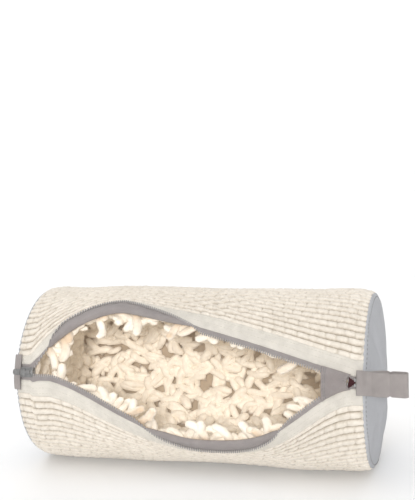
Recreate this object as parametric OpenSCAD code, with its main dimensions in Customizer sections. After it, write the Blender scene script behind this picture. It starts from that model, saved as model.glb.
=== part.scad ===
// Zipped shoe bag: a soft drum with a chenille rib outside and a long chenille pile inside.
// X runs along the bag, -Y faces the mouth, +Z is up, and the origin is the middle of the resting face.

/* [Body] */
// Length of the bag between its two end seams
body_l = 380; // [360:5:400]
// Diameter over the ribs
body_d = 196; // [190:2:204]
// How far the round section is pressed flat where it rests
flat_depth = 4; // [3:0.5:6]
// How far each end panel domes outwards
dome_h = 8.5; // [6:0.5:11]

/* [Layers] */
// Thickness of the ribbed outer fabric
outer_t = 5; // [4:0.5:6]
// Thickness of the cloth that carries the pile
lining_t = 1.3; // [1:0.1:1.5]
// Height of the chenille pile
pile_t = 11.7; // [9:0.1:12]
// Thickness of each end panel
end_t = 1.5; // [1:0.1:2]

/* [Mouth] */
// Direction that the zip faces, in degrees above the horizontal
zip_tilt = 15.5; // [10:0.5:20]
// Where the lips start to part at the left, from the middle of the bag
mouth_left = -172.5; // [-174:0.5:-171]
// Where the lips meet again at the right
mouth_right = 180; // [176:1:182]
// How far the upper lip opens, in degrees
upper_open = 43.5; // [30:0.5:48]
// Where the upper lip is highest
upper_peak_x = -78; // [-100:1:-50]
// How far the lower lip opens, in degrees
lower_open = 43; // [30:0.5:48]
// Where the lower lip is lowest
lower_peak_x = 15; // [0:1:40]

/* [Zip] */
// Width of the plain fabric band beside each zip tape
band_w = 16; // [14:0.5:18]
// Half of the gap between the two bands when the zip is closed
band_gap = 6; // [5:0.5:7]
// Half of that gap at the left end, where the slider parks
park_gap = 8.5; // [8:0.5:9]
// Width of a zip tape that is turned outwards
tape_w = 13; // [11:0.5:14]
// Spacing of the teeth on one side
tooth_pitch = 2.4; // [2.2:0.1:2.6]
// Length of the slider
slider_l = 15; // [13:0.5:15]
// Width of the slider
slider_w = 11; // [9:0.5:11]
// Length of the slider's pull
pull_l = 13; // [12:1:20]

/* [Loops] */
// Width of the loop's webbing
loop_w = 25; // [20:1:30]
// How far the right loop stands out past the end seam
loop_l = 43; // [38:1:60]
// Thickness of one layer of webbing
webbing_t = 1.6; // [1.2:0.1:2]
// Gap between the loop's two layers
loop_gap = 5.4; // [5:0.1:8]
// Height of the left tab
tab_w = 38; // [30:1:40]
// Thickness of the left tab
tab_t = 1.1; // [0.8:0.1:1.2]

/* [Hidden] */
$fn = 180;

cream = [0.92, 0.88, 0.82];
band_cream = [0.89, 0.87, 0.82];
pile_cream = [0.94, 0.89, 0.80];
zip_grey = [0.66, 0.62, 0.61];
end_grey = [0.70, 0.71, 0.72];
loop_grey = [0.68, 0.65, 0.63];
metal_grey = [0.57, 0.57, 0.56];
thread_red = [0.35, 0.10, 0.10];

clear = 0.3;                                // gap between soft layers
half_l = body_l / 2;
outer_r = body_d / 2;
axis_z = outer_r - flat_depth;              // height of the bag's axis
panel_half = half_l - end_t - 0.1;          // half length of the outer panel
panel_in_r = outer_r - outer_t;
lining_out_r = panel_in_r - clear;
lining_in_r = lining_out_r - lining_t;
pile_out_r = lining_in_r - 0.2;
pile_in_r = pile_out_r - pile_t;
lining_half = half_l - 5;
end_pile_in = half_l - 15;                  // inner face of the end pile
binding_in_r = lining_out_r - 4;

band_in_r = panel_in_r + 2.2;
band_out_r = band_in_r + 2;
tape_t = 0.7;
tape_in_r = band_in_r - 0.6 - tape_t;       // tape in its normal place, under the band
turned_in_r = band_out_r + 0.3;             // tape that is folded back over the band
tooth_h = 2.3;                              // tooth size across the tape's thickness
tooth_w = 1.0;                              // tooth size along the zip
tooth_len = 2.6;                            // tooth size across the zip
tooth_closed = 0.8;                         // tooth centre from the zip line when closed
tooth_clear = 1.7;                          // least distance of a tooth's centre inside the band's edge
zip_half = half_l - 2.5;                    // half length of the zip tapes
tape_hold = 5;                              // tape held under the band
twist_upper = [-153, 5];                    // between these the upper tape is turned outwards
twist_lower = [-45, 100];                   // the same for the lower tape
twist_len = 24;                             // length over which a tape turns over
steps = 48;                                 // points along each outline

slider_x = -half_l + 13.7;                  // slider's centre at rest
plate_t = 1.5;
zip_r = tape_in_r + tape_t / 2;             // radius of the middle of the teeth
channel = tooth_h / 2 + 0.35;               // room for the teeth above and below that
plate_low_r = zip_r - channel;
plate_top_r = zip_r + channel;
cap_r = plate_top_r + plate_t;              // underside of the bridge
cap_h = 4.4;
pin_r = cap_r + 2;                          // radius of the pull's pin
tape_top_r = tape_in_r + tape_t + 0.1;      // where stops and bar tack sit on the tapes
pull_pin_x = -1.8;                          // pull's pin from the slider's centre
stitch_pitch = 3.8;                         // spacing of the topstitches
stitch_inset = 1.8;                         // topstitches from the band's outer edge
seam_stitch_step = 3;                       // spacing of the end seam's stitches, in degrees
garage_x = [149, 175];                      // ends of the cover at the right end of the zip
stop_l = 1.8;                               // zip stops, along the zip
stop_w = 2.5;                               // half width of the bottom stop
stop_h = 1.4;
loop_x = half_l + 0.8;                      // root of the loop, just past the end seam
loop_y = -outer_r * cos(zip_tilt) - 1.1;
loop_z = axis_z + outer_r * sin(zip_tilt);

// Helpers for outlines
function unit(v) = min(1, max(0, v));
function ease(v) = v * v * (3 - 2 * v);
function degrees_at(mm, r) = mm / r * 180 / PI;
function mix(a, b, t) = a + (b - a) * t;

// Share of the full opening at a place along the bag; the slider's wedge parts the lower lip first
function upper_rise(x) = x < upper_peak_x
    ? sin(90 * unit((x - mouth_left) / (upper_peak_x - mouth_left)))
    : 1 - pow(unit((x - upper_peak_x) / (mouth_right - upper_peak_x)), 1.08);
function lower_rise(x) = let (s = unit((x - mouth_left) / (lower_peak_x - mouth_left))) x < lower_peak_x
    ? max(ease(s), min(0.04, 2.3 * s))
    : 1 - ease(pow(unit((x - lower_peak_x) / (mouth_right - lower_peak_x)), 1.5));
function closed_gap(x) = mix(band_gap, park_gap, ease(unit((-half_l + 30 - x) / 14)));

// Angle from the zip line of a strip that lies a number of mm outside the zip line when closed
function upper_angle(x, mm) = degrees_at(mm, outer_r) + upper_open * upper_rise(x);
function lower_angle(x, mm) = -degrees_at(mm, outer_r) - lower_open * lower_rise(x);
function upper_edge(x, mm = 0) = upper_angle(x, closed_gap(x) + mm);
function lower_edge(x, mm = 0) = lower_angle(x, closed_gap(x) + mm);

// 1 in the middle of the turned stretch, 0 where the tape stands on edge, -1 in its normal place
function turn(x, ends) = x < (ends[0] + ends[1]) / 2
    ? max(-1, min(1, (x - ends[0]) / (twist_len / 2)))
    : max(-1, min(1, (ends[1] - x) / (twist_len / 2)));
// Distance of the teeth outside the band's edge, in mm, negative towards the mouth
function tooth_offset(x, ends) = let (t = turn(x, ends))
    t > 0 ? t * tape_w : mix(-tooth_clear, tooth_closed - closed_gap(x), -t);

// Section of the bag, flat at the bottom
module section(r, drop) {
    intersection() {
        circle(r = r);
        translate([-r, -drop]) square([2 * r, drop + r]);
    }
}

module along_bag(x0, x1) {
    translate([x0, 0, axis_z]) rotate([90, 0, 90]) linear_extrude(height = x1 - x0) children();
}

module ring(r_out, r_in, x0, x1, drop_out, drop_in) {
    along_bag(x0, x1) difference() {
        section(r_out, drop_out);
        section(r_in, drop_in);
    }
}

// Local frame of the zip: X along it, Y up across it, Z straight out of the bag
module face_zip() {
    translate([0, 0, axis_z]) rotate([90 - zip_tilt, 0, 0]) children();
}

// Places children on the round surface at an angle from the zip line
module at_angle(x, angle) {
    translate([0, 0, axis_z]) rotate([90 - zip_tilt + -angle, 0, 0]) translate([x, 0, 0]) children();
}

// Prism that points out of the mouth and lies between two edges given in degrees
module between(x0, x1, low, high, r) {
    face_zip() linear_extrude(height = outer_r + 20) polygon([
        for (i = [0 : steps]) let (x = mix(x0, x1, i / steps)) [x, r * sin(low(x))],
        for (i = [steps : -1 : 0]) let (x = mix(x0, x1, i / steps)) [x, r * sin(high(x))]
    ]);
}

// Thin curved strip between two edges
module strip(r_in, r_out, x0, x1, low, high) {
    intersection() {
        ring(r_out, r_in, x0, x1, outer_r, outer_r);
        between(x0, x1, low, high, (r_in + r_out) / 2);
    }
}

// The mouth as seen by a layer, cut back by a number of mm from the bands' edges
module mouth(mm, r) {
    between(-half_l, half_l, function(x) lower_edge(x, mm), function(x) upper_edge(x, mm), r);
}

module outer_panel() {
    color(cream) difference() {
        ring(outer_r, panel_in_r, -panel_half, panel_half, axis_z, axis_z - outer_t);
        mouth(band_w + clear, outer_r);
    }
}

module lining_panel() {
    color(pile_cream) difference() {
        ring(lining_out_r, lining_in_r, -lining_half, lining_half,
            axis_z - outer_t - clear, axis_z - outer_t - clear - lining_t);
        mouth(1, lining_in_r);
    }
}

module noodle_pile() {
    color(pile_cream) difference() {
        ring(pile_out_r, pile_in_r, -end_pile_in + clear, end_pile_in - clear,
            axis_z - outer_t - lining_t - 0.5, pile_in_r);
        mouth(3, (pile_out_r + pile_in_r) / 2);
    }
}

module upper_band() {
    color(band_cream) strip(band_in_r, band_out_r, -panel_half, panel_half,
        function(x) upper_edge(x), function(x) upper_edge(x, band_w));
}

module lower_band() {
    color(band_cream) strip(band_in_r, band_out_r, -panel_half, panel_half,
        function(x) lower_edge(x, band_w), function(x) lower_edge(x));
}

// Tape in its normal place, from its teeth to under the band
module normal_tape(x0, x1, ends, side) {
    strip(tape_in_r, tape_in_r + tape_t, x0, x1,
        function(x) side > 0 ? upper_edge(x, min(-tooth_clear, tooth_offset(x, ends))) : lower_edge(x, tape_hold),
        function(x) side > 0 ? upper_edge(x, tape_hold) : lower_edge(x, min(-tooth_clear, tooth_offset(x, ends))));
}

// Tape folded back over the band, with its teeth on the outside
module turned_tape(ends, side) {
    strip(turned_in_r, turned_in_r + tape_t, ends[0] + 1, ends[1] - 1,
        function(x) side > 0 ? upper_edge(x) : lower_edge(x, max(0.5, tooth_offset(x, ends))),
        function(x) side > 0 ? upper_edge(x, max(0.5, tooth_offset(x, ends))) : lower_edge(x));
}

module zip_tape(ends, side) {
    color(zip_grey) {
        normal_tape(-zip_half, ends[0] - 1, ends, side);
        turned_tape(ends, side);
        normal_tape(ends[1] + 1, zip_half, ends, side);
    }
}

module upper_zip_tape() { zip_tape(twist_upper, 1); }
module lower_zip_tape() { zip_tape(twist_lower, -1); }

// Teeth along the edge of a tape, on the side that its stretch shows
module zip_teeth(ends, side, shift) {
    first = -zip_half + 3.6 + shift;
    count = floor((2 * zip_half - 16) / tooth_pitch);
    color(zip_grey) for (i = [0 : count]) let (
        x = first + i * tooth_pitch,
        offset_mm = tooth_offset(x, ends),
        turned = turn(x, ends) > 0,
        angle = side > 0 ? upper_edge(x, offset_mm) : lower_edge(x, offset_mm),
        r = turned ? turned_in_r + 0.2 + tooth_h / 2 : zip_r
    ) at_angle(x, angle) translate([0, 0, r]) cube([tooth_w, tooth_len, tooth_h], center = true);
}

module upper_zip_teeth() { zip_teeth(twist_upper, 1, 0); }
module lower_zip_teeth() { zip_teeth(twist_lower, -1, tooth_pitch / 2); }

module zip_bottom_stop() {
    color(metal_grey) face_zip() translate([-half_l + 3.5, -stop_w, tape_top_r]) cube([stop_l, 2 * stop_w, stop_h]);
}

module zip_top_stops() {
    color(metal_grey) for (side = [1, -1]) let (
        x = mouth_right + 0.4,
        angle = side > 0 ? upper_edge(x, -3.4) : lower_edge(x, -3.4)
    ) at_angle(x, angle) translate([-stop_l / 2, -1.5, tape_top_r]) cube([stop_l, 3, stop_h]);
}

// Plate with rounded corners
module plate(l, w, t, r = 2) {
    linear_extrude(height = t) union() {
        square([l - 2 * r, w], center = true);
        square([l, w - 2 * r], center = true);
        for (sx = [-1, 1], sy = [-1, 1]) translate([sx * (l / 2 - r), sy * (w / 2 - r)]) circle(r = r);
    }
}

module at_slider() {
    face_zip() translate([slider_x, 0, 0]) children();
}

module slider_body() {
    wedge = [5, slider_l / 2 - 0.5];
    flange_l = slider_l * 0.55;
    color(metal_grey) at_slider() {
        union() {
            translate([0, 0, plate_low_r - plate_t]) plate(slider_l, slider_w, plate_t);
            translate([0, 0, plate_top_r]) plate(slider_l, slider_w, plate_t);
            // The wedge parts the teeth and joins the two plates
            translate([0, 0, plate_low_r - 0.1]) linear_extrude(height = 2 * channel + 0.2)
                polygon([[wedge[0], 0], [wedge[1], 1.5], [wedge[1], -1.5]]);
            // Flanges keep the teeth in; the tapes pass between them
            for (side = [-1, 1]) {
                translate([-flange_l / 2 - 1, side * (slider_w / 2 - 0.5), plate_low_r + 0.1])
                    cube([flange_l, 0.9, 0.8], center = true);
                translate([-flange_l / 2 - 1, side * (slider_w / 2 - 0.5), plate_top_r - 0.1])
                    cube([flange_l, 0.9, 0.8], center = true);
            }
        }
    }
}

// Bridge over the slider that holds the pull
module slider_cap() {
    cap_w = 4.4;
    color(metal_grey) at_slider() translate([0, cap_w / 2, cap_r + 0.05]) rotate([90, 0, 0])
        linear_extrude(height = cap_w) difference() {
            translate([-5, 0]) square([10, cap_h]);
            translate([-3.8, -0.1]) square([7.6, cap_h - 0.9]);
        }
}

module slider_lock_spring() {
    color("silver") at_slider() translate([-3.6, -0.8, cap_r + 0.1]) cube([7.2, 1.6, 0.3]);
}

// The pull's two arms hold a pin that passes under the bridge
module slider_pull() {
    plate_l = 8;
    arm_l = pull_l - plate_l + 1.5;
    arm_t = 0.9;
    arm_y = 2.3;
    pull_t = 1;
    color(metal_grey) at_slider() translate([pull_pin_x, 0, pin_r]) union() {
        translate([0, -arm_y - 0.1, 0]) rotate([-90, 0, 0]) cylinder(h = 2 * arm_y + 0.2, r = 0.7, $fn = 32);
        for (y = [-arm_y - arm_t, arm_y]) {
            translate([0, y, 0]) rotate([-90, 0, 0]) cylinder(h = arm_t, r = 1, $fn = 32);
            translate([-arm_l, y, -pull_t / 2]) cube([arm_l, arm_t, pull_t]);
        }
        translate([plate_l / 2 - pull_l, 0, -pull_t / 2]) plate(plate_l, 6.4, pull_t, 2.4);
    }
}

// Elastic cover over the end of the zip, which the slider goes under when the zip is closed
module zip_garage() {
    color(zip_grey) strip(band_out_r + 0.3, band_out_r + 1.2, garage_x[0], garage_x[1],
        function(x) lower_edge(x, 1.5), function(x) upper_edge(x, 1.5));
}

// Thin domed panel; side is 1 at the right end and -1 at the left
module end_panel(side) {
    dome_r = (pow(outer_r - 1, 2) + pow(dome_h, 2)) / (2 * dome_h);
    color(end_grey) intersection() {
        translate([side * (half_l + dome_h - dome_r), 0, axis_z]) difference() {
            sphere(r = dome_r);
            sphere(r = dome_r - end_t);
        }
        ring(outer_r - 1, 0.01, side > 0 ? half_l - end_t : -half_l - 15, side > 0 ? half_l + 15 : -half_l + end_t,
            axis_z, 0.01);
    }
}

module left_end_panel() { end_panel(-1); }
module right_end_panel() { end_panel(1); }

// Woven tape that binds the cut edges of an end seam inside the bag
module seam_binding(side) {
    mid = side * (half_l - 3.2);
    color(band_cream) difference() {
        ring(lining_out_r - 0.1, binding_in_r, mid - 1.4, mid + 1.4, axis_z - outer_t - clear, axis_z - outer_t - 4);
        mouth(2, lining_in_r);
    }
}

module left_seam_binding() { seam_binding(-1); }
module right_seam_binding() { seam_binding(1); }

module end_disc(side, x_in, x_out, r) {
    lo = side > 0 ? x_in : -x_out;
    along_bag(lo, lo + x_out - x_in) section(r, r - flat_depth);
}

module left_end_lining() { color(pile_cream) end_disc(-1, half_l - 3.6, half_l - 2.4, binding_in_r - clear); }
module right_end_lining() { color(pile_cream) end_disc(1, half_l - 3.6, half_l - 2.4, binding_in_r - clear); }
module left_end_noodles() { color(pile_cream) end_disc(-1, end_pile_in, half_l - 5.4, pile_in_r + 8); }
module right_end_noodles() { color(pile_cream) end_disc(1, end_pile_in, half_l - 5.4, pile_in_r + 8); }

// Webbing folded into a loop that stands out past the end seam
module right_loop() {
    base_l = 8;
    wide = loop_gap + 2 * webbing_t;
    color(loop_grey) translate([loop_x, loop_y, loop_z - loop_w / 2]) linear_extrude(height = loop_w)
        difference() {
            union() {
                translate([0, -webbing_t]) square([base_l + 1, 2 * webbing_t]);
                translate([base_l, -wide / 2]) square([loop_l - base_l - wide / 2, wide]);
                translate([loop_l - wide / 2, 0]) circle(r = wide / 2);
            }
            translate([base_l + webbing_t, -loop_gap / 2])
                square([loop_l - base_l - webbing_t - wide / 2, loop_gap]);
            translate([loop_l - wide / 2, 0]) circle(r = loop_gap / 2);
        }
}

// Short end of webbing sewn flat over the bands at the left end seam
module left_tab() {
    color(loop_grey) face_zip() translate([-half_l + 1.5, -tab_w / 2, band_out_r + 0.2])
        cube([6.2, tab_w, tab_t]);
}

// Row of short stitches along a band
module topstitch(side, mm) {
    count = floor((2 * panel_half - 8) / stitch_pitch);
    color(band_cream) for (i = [0 : count]) let (
        x = -panel_half + 4 + i * stitch_pitch,
        angle = side > 0 ? upper_edge(x, mm) : lower_edge(x, mm)
    ) at_angle(x, angle) translate([0, 0, band_out_r + 0.15]) cube([2.4, 0.6, 0.25], center = true);
}

module upper_topstitch() { topstitch(1, band_w - stitch_inset); }
module lower_topstitch() { topstitch(-1, band_w - stitch_inset); }

// Stitches round an end seam, clear of the ground and of the mouth
module seam_stitches(side) {
    color(end_grey) for (angle = [18 : seam_stitch_step : 342])
        if (outer_r * sin(zip_tilt + angle) > 1 - axis_z)
            at_angle(side * (half_l - 4), angle) translate([0, 0, outer_r + 0.2])
                cube([0.6, 2.6, 0.3], center = true);
}

module left_seam_stitches() { seam_stitches(-1); }
module right_seam_stitches() { seam_stitches(1); }

module garage_stitches() {
    color(zip_grey) for (row = [0, 2.4], i = [0 : 8]) let (
        x = garage_x[0] + 1.6 + row,
        angle = mix(lower_edge(x, -2), upper_edge(x, -2), i / 8)
    ) at_angle(x, angle) translate([0, 0, band_out_r + 1.4]) cube([0.6, 2, 0.25], center = true);
}

module zip_end_bartack() {
    color(thread_red) face_zip() translate([half_l - 14.3, -3.5, tape_top_r]) cube([3.4, 7, 1.2]);
}

outer_panel();
upper_band();
lower_band();
upper_zip_tape();
lower_zip_tape();
upper_zip_teeth();
lower_zip_teeth();
zip_bottom_stop();
zip_top_stops();
slider_body();
slider_cap();
slider_lock_spring();
slider_pull();
zip_garage();
left_end_panel();
right_end_panel();
left_seam_binding();
right_seam_binding();
lining_panel();
noodle_pile();
left_end_lining();
right_end_lining();
left_end_noodles();
right_end_noodles();
right_loop();
left_tab();
upper_topstitch();
lower_topstitch();
left_seam_stitches();
right_seam_stitches();
garage_stitches();
zip_end_bartack();
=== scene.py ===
# %% [markdown]
# # A chenille shoe bag, lying open
# A soft drum sewn from ribbed chenille, with two plain grey ends, a zip along its side and a
# long chenille pile inside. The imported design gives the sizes, and this script makes the looks.

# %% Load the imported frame
import math
import bmesh
import bpy
import numpy as np
from mathutils import Matrix, Vector


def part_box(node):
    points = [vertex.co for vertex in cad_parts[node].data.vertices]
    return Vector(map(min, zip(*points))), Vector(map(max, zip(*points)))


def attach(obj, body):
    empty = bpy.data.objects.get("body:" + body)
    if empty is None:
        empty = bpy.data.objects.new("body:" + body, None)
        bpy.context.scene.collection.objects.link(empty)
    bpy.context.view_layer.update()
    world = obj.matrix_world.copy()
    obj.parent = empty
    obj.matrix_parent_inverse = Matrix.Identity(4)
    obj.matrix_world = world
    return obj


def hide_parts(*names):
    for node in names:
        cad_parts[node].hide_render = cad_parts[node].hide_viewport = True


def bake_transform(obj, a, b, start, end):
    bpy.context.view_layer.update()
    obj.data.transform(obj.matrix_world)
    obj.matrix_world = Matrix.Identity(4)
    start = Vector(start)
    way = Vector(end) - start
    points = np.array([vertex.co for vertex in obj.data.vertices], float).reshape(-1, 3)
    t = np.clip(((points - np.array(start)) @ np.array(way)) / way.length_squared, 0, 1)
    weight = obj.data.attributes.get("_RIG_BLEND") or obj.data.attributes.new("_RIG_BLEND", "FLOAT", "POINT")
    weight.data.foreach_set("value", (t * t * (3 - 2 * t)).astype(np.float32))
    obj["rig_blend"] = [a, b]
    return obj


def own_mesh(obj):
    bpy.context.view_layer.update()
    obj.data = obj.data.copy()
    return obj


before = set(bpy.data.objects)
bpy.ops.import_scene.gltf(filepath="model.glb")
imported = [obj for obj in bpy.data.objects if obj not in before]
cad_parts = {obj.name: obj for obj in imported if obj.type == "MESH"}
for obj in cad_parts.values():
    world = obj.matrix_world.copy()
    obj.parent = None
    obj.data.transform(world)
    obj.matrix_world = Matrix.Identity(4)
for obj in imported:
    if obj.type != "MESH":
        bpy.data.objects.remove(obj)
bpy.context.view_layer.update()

# %% [markdown]
# ## Driving sizes
# The outer panel's box gives the drum's radius, the height of its axis and its half length.
# The mouth's shape repeats the design's few numbers, in metres and radians. The zip tape is
# 14.2 mm wide here, a little more than the design's 13 mm.

# %% Sizes
MM = 0.001
panel_low, panel_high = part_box("outer_panel")
RADIUS = (panel_high[1] - panel_low[1]) / 2
AXIS_Z = panel_high[2] - RADIUS
PANEL_HALF = panel_high[0]
SEAM_X = PANEL_HALF + 1.6 * MM
ZIP_TILT = math.radians(15.5)
MOUTH_LEFT, MOUTH_RIGHT = -0.1725, 0.180
PEAK = {1: -0.078, -1: 0.015}
OPENING = {1: math.radians(43.5), -1: math.radians(43.0)}
BAND_W = 16 * MM
TAPE_W = 14.2 * MM
TWIST = {1: (-0.153, 0.005), -1: (-0.045, 0.100)}
TWIST_LEN = 24 * MM
LIP_BODY = {1: "upper_lip", -1: "lower_lip"}
SIDE_NAME = {1: "upper", -1: "lower"}
END_NAME = {1: "right", -1: "left"}
HALF_ROUND = math.pi * RADIUS
PANEL_START = BAND_W + 6 * MM
settled = {}
rng = np.random.default_rng(7)
print("radius", round(RADIUS, 4), "axis height", round(AXIS_Z, 4), "half length", round(PANEL_HALF, 4))

# %% [markdown]
# ## The pattern and how it is sewn up
# Cloth is cut flat, so every soft piece is first made flat: X runs along the bag, Y is the
# distance from the closed zip line measured over the cloth, and Z is the height above the
# reference radius. One function rolls that pattern into the drum and opens the mouth. How far
# a point turns when the mouth opens is its share, and the same share closes it again later.


# %% The mouth's shape
def unit(v):
    return np.clip(v, 0.0, 1.0)


def ease(v):
    return v * v * (3 - 2 * v)


def mix(a, b, t):
    return a + (b - a) * t


def rise(x, side):
    """Share of the full opening along the bag, 0 at both ends of the mouth."""
    left = unit((x - MOUTH_LEFT) / (PEAK[side] - MOUTH_LEFT))
    right = unit((x - PEAK[side]) / (MOUTH_RIGHT - PEAK[side]))
    if side > 0:
        return np.where(x < PEAK[side], np.sin(left * math.pi / 2), 1 - right ** 1.08)
    opened = np.maximum(ease(left), np.minimum(0.04, 2.3 * left))
    return np.where(x < PEAK[side], opened, 1 - ease(right ** 1.5))


def closed_gap(x):
    """Half of the gap between the bands when the zip is closed; wider where the slider parks."""
    return mix(6 * MM, 8.5 * MM, ease(unit((-SEAM_X + 30 * MM - x) / (14 * MM))))


def fade(arc, side):
    """How much of the lip's turn the cloth takes up, from 1 at the band to 0 round the back."""
    start = PANEL_START
    end, power = {1: (math.radians(150) * RADIUS, 1.5), -1: (math.radians(101) * RADIUS, 1.2)}[side]
    return (1 - unit((arc - start) / (end - start))) ** power


print("share at the middle", [round(float(rise(np.array(0.0), s)), 3) for s in (1, -1)])


def panel_edge(x, side):
    """Where the ribs start. The upper band is a little narrower near the mouth's left end."""
    if side < 0:
        return PANEL_START + 0 * x
    near = closed_gap(x) + mix(8 * MM, TAPE_W + 0.6 * MM, ease(unit((x + 182 * MM) / (30 * MM))))
    return mix(np.minimum(near, PANEL_START), PANEL_START, ease(unit((x + 20 * MM) / (60 * MM))))


# %% Rolling the pattern up
def folds_at(x, arc, side):
    """Height of the settled folds at a place on the pattern, read off the simulated grid."""
    if side not in settled:
        return 0.0
    heights = settled[side]
    cols, rows = heights.shape
    along, across = (x + PANEL_HALF) / (2 * PANEL_HALF), (arc - PANEL_START) / (HALF_ROUND - PANEL_START)
    u, v = np.broadcast_arrays(along, across)
    u, v = np.clip(u, 0, 1) * (cols - 1.001), np.clip(v, 0, 1) * (rows - 1.001)
    i, j = u.astype(int), v.astype(int)
    near = mix(heights[i, j], heights[i + 1, j], u - i)
    far = mix(heights[i, j + 1], heights[i + 1, j + 1], u - i)
    return mix(near, far, v - j)


def swell(x, arc, side):
    """Low, broad unevenness of the soft drum, the same for every layer."""
    v = side * arc
    wave = 1.0 * np.sin(23 * x + 19 * v + 0.4) + 0.8 * np.sin(-31 * x + 27 * v + 2.1)
    wave += 0.7 * np.sin(47 * x + 9 * v + 4.0) + 0.45 * np.sin(71 * x - 38 * v + 1.0)
    to_end = unit((PANEL_HALF - np.abs(x)) / (40 * MM))
    shoulder = 3.0 * MM * (1 - unit(to_end * 2)) ** 2
    return 0.6 * MM * wave * ease(to_end) - shoulder + folds_at(x, arc, side)


def roll_up(x, arc, r, side, share):
    """Points on the open bag for a place on the pattern, a radius and a share of the opening."""
    angle = ZIP_TILT + side * (arc / RADIUS + OPENING[side] * share)
    y = -r * np.cos(angle)
    z = AXIS_Z + r * np.sin(angle)
    low = np.maximum(RADIUS - r, 0.1 * MM)
    above = z - low
    z = low + 0.5 * (above + np.sqrt(above ** 2 + (1.2 * MM) ** 2))
    return np.stack([x, y, z], -1)


def on_drum(x, angle, r):
    """Points at an angle round the bag's axis, for small pieces that don't rest on the ground."""
    return np.stack([x, -r * np.cos(angle), AXIS_Z + r * np.sin(angle)], -1)


def cloth_share(x, arc, side):
    return rise(x, side) * fade(arc, side)


# %% [markdown]
# ## Meshes from grids
# A cloth piece is a closed shell: a fine grid on top, a grid underneath and rims that join
# them. The underside may use only every few rows, because nobody sees it, and then the rims
# at the two ends are faces with many corners.


# %% Shell builder
def make_object(name, verts, faces, material=None, smooth=True):
    mesh = bpy.data.meshes.new(name)
    mesh.from_pydata([tuple(v) for v in verts], [], faces)
    mesh.update()
    obj = bpy.data.objects.new(name, mesh)
    bpy.context.scene.collection.objects.link(obj)
    if smooth:
        mesh.polygons.foreach_set("use_smooth", [True] * len(mesh.polygons))
    if material is not None:
        mesh.materials.append(material)
    return obj


def set_pattern(obj, flat):
    """Stores the place of every vertex on the flat cloth, for the weave to follow."""
    layer = obj.data.uv_layers.new(name="pattern")
    index = np.zeros(len(obj.data.loops), int)
    obj.data.loops.foreach_get("vertex_index", index)
    layer.data.foreach_set("uv", (flat[index] * 10).ravel())


def shell(name, top, under, uv, material, flip=False, every=1):
    """Closed shell from two point grids of the same shape (columns along X, rows across)."""
    cols, rows = top.shape[:2]
    keep = list(range(0, rows - 1, every)) + [rows - 1]
    verts = list(top.reshape(-1, 3)) + list(under[:, keep].reshape(-1, 3))
    base, low_rows = cols * rows, len(keep)

    def t(i, j):
        return i * rows + j

    def u(i, k):
        return base + i * low_rows + k

    faces = [(t(i, j), t(i + 1, j), t(i + 1, j + 1), t(i, j + 1))
             for i in range(cols - 1) for j in range(rows - 1)]
    faces += [(u(i, k), u(i, k + 1), u(i + 1, k + 1), u(i + 1, k))
              for i in range(cols - 1) for k in range(low_rows - 1)]
    for i in range(cols - 1):
        faces.append((t(i, 0), u(i, 0), u(i + 1, 0), t(i + 1, 0)))
        faces.append((t(i + 1, rows - 1), u(i + 1, low_rows - 1), u(i, low_rows - 1), t(i, rows - 1)))
    for k in range(low_rows - 1):
        a, b = keep[k], keep[k + 1]
        faces.append(tuple(t(0, j) for j in range(a, b + 1)) + (u(0, k + 1), u(0, k)))
        top_side = tuple(t(cols - 1, j) for j in range(b, a - 1, -1))
        faces.append(top_side + (u(cols - 1, k), u(cols - 1, k + 1)))
    if flip:
        faces = [tuple(reversed(f)) for f in faces]
    obj = make_object(name, verts, faces, material)
    set_pattern(obj, np.concatenate([uv.reshape(-1, 2), uv[:, keep].reshape(-1, 2)]))
    return obj, keep


def both_layers(values, keep):
    """A value for every vertex of a shell, from its grid."""
    return np.concatenate([values.ravel(), values[:, keep].ravel()])


def set_attribute(obj, name, values):
    layer = obj.data.attributes.get(name) or obj.data.attributes.new(name, "FLOAT", "POINT")
    layer.data.foreach_set("value", np.asarray(values, np.float32))


def read_attribute(obj, name):
    values = np.zeros(len(obj.data.vertices), np.float32)
    obj.data.attributes[name].data.foreach_get("value", values)
    return values


def turn_with_lip(obj, side, share):
    """The piece follows its lip by the share of each point, so that it closes exactly."""
    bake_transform(obj, "root", LIP_BODY[side], start=(0, 0, 0), end=(0, 0, 1))
    set_attribute(obj, "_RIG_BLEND", share)


# %% [markdown]
# ## Finishes
# Each finish is a short node tree on the Principled shader. Chenille is a very rough, fuzzy
# pile, so its sheen does much of the work; the relief comes from noise at the size of tufts.


# %% Material helpers
def material_tree(name, colour, roughness, sheen=0.0, metallic=0.0, coat=0.0):
    material = bpy.data.materials.new(name)
    material.use_nodes = True
    tree = material.node_tree
    shader = tree.nodes["Principled BSDF"]
    shader.inputs["Base Color"].default_value = (*colour, 1)
    shader.inputs["Roughness"].default_value = roughness
    shader.inputs["Metallic"].default_value = metallic
    shader.inputs["Sheen Weight"].default_value = sheen
    shader.inputs["Sheen Roughness"].default_value = 0.5
    shader.inputs["Coat Weight"].default_value = coat
    shader.inputs["Specular IOR Level"].default_value = 0.25 if sheen else 0.5
    return material, tree, shader


def node(tree, kind, inputs=None, **settings):
    made = tree.nodes.new(kind)
    for key, value in settings.items():
        setattr(made, key, value)
    for key, value in (inputs or {}).items():
        if isinstance(value, bpy.types.NodeSocket):
            tree.links.new(value, made.inputs[key])
        else:
            made.inputs[key].default_value = value
    return made


def math_node(tree, operation, a, b=0.0):
    return node(tree, "ShaderNodeMath", {0: a, 1: b}, operation=operation).outputs[0]


def noise(tree, coords, scale, detail=3.0, rough=0.55):
    return node(tree, "ShaderNodeTexNoise", {"Vector": coords, "Scale": scale, "Detail": detail,
                                             "Roughness": rough}).outputs["Fac"]


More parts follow.
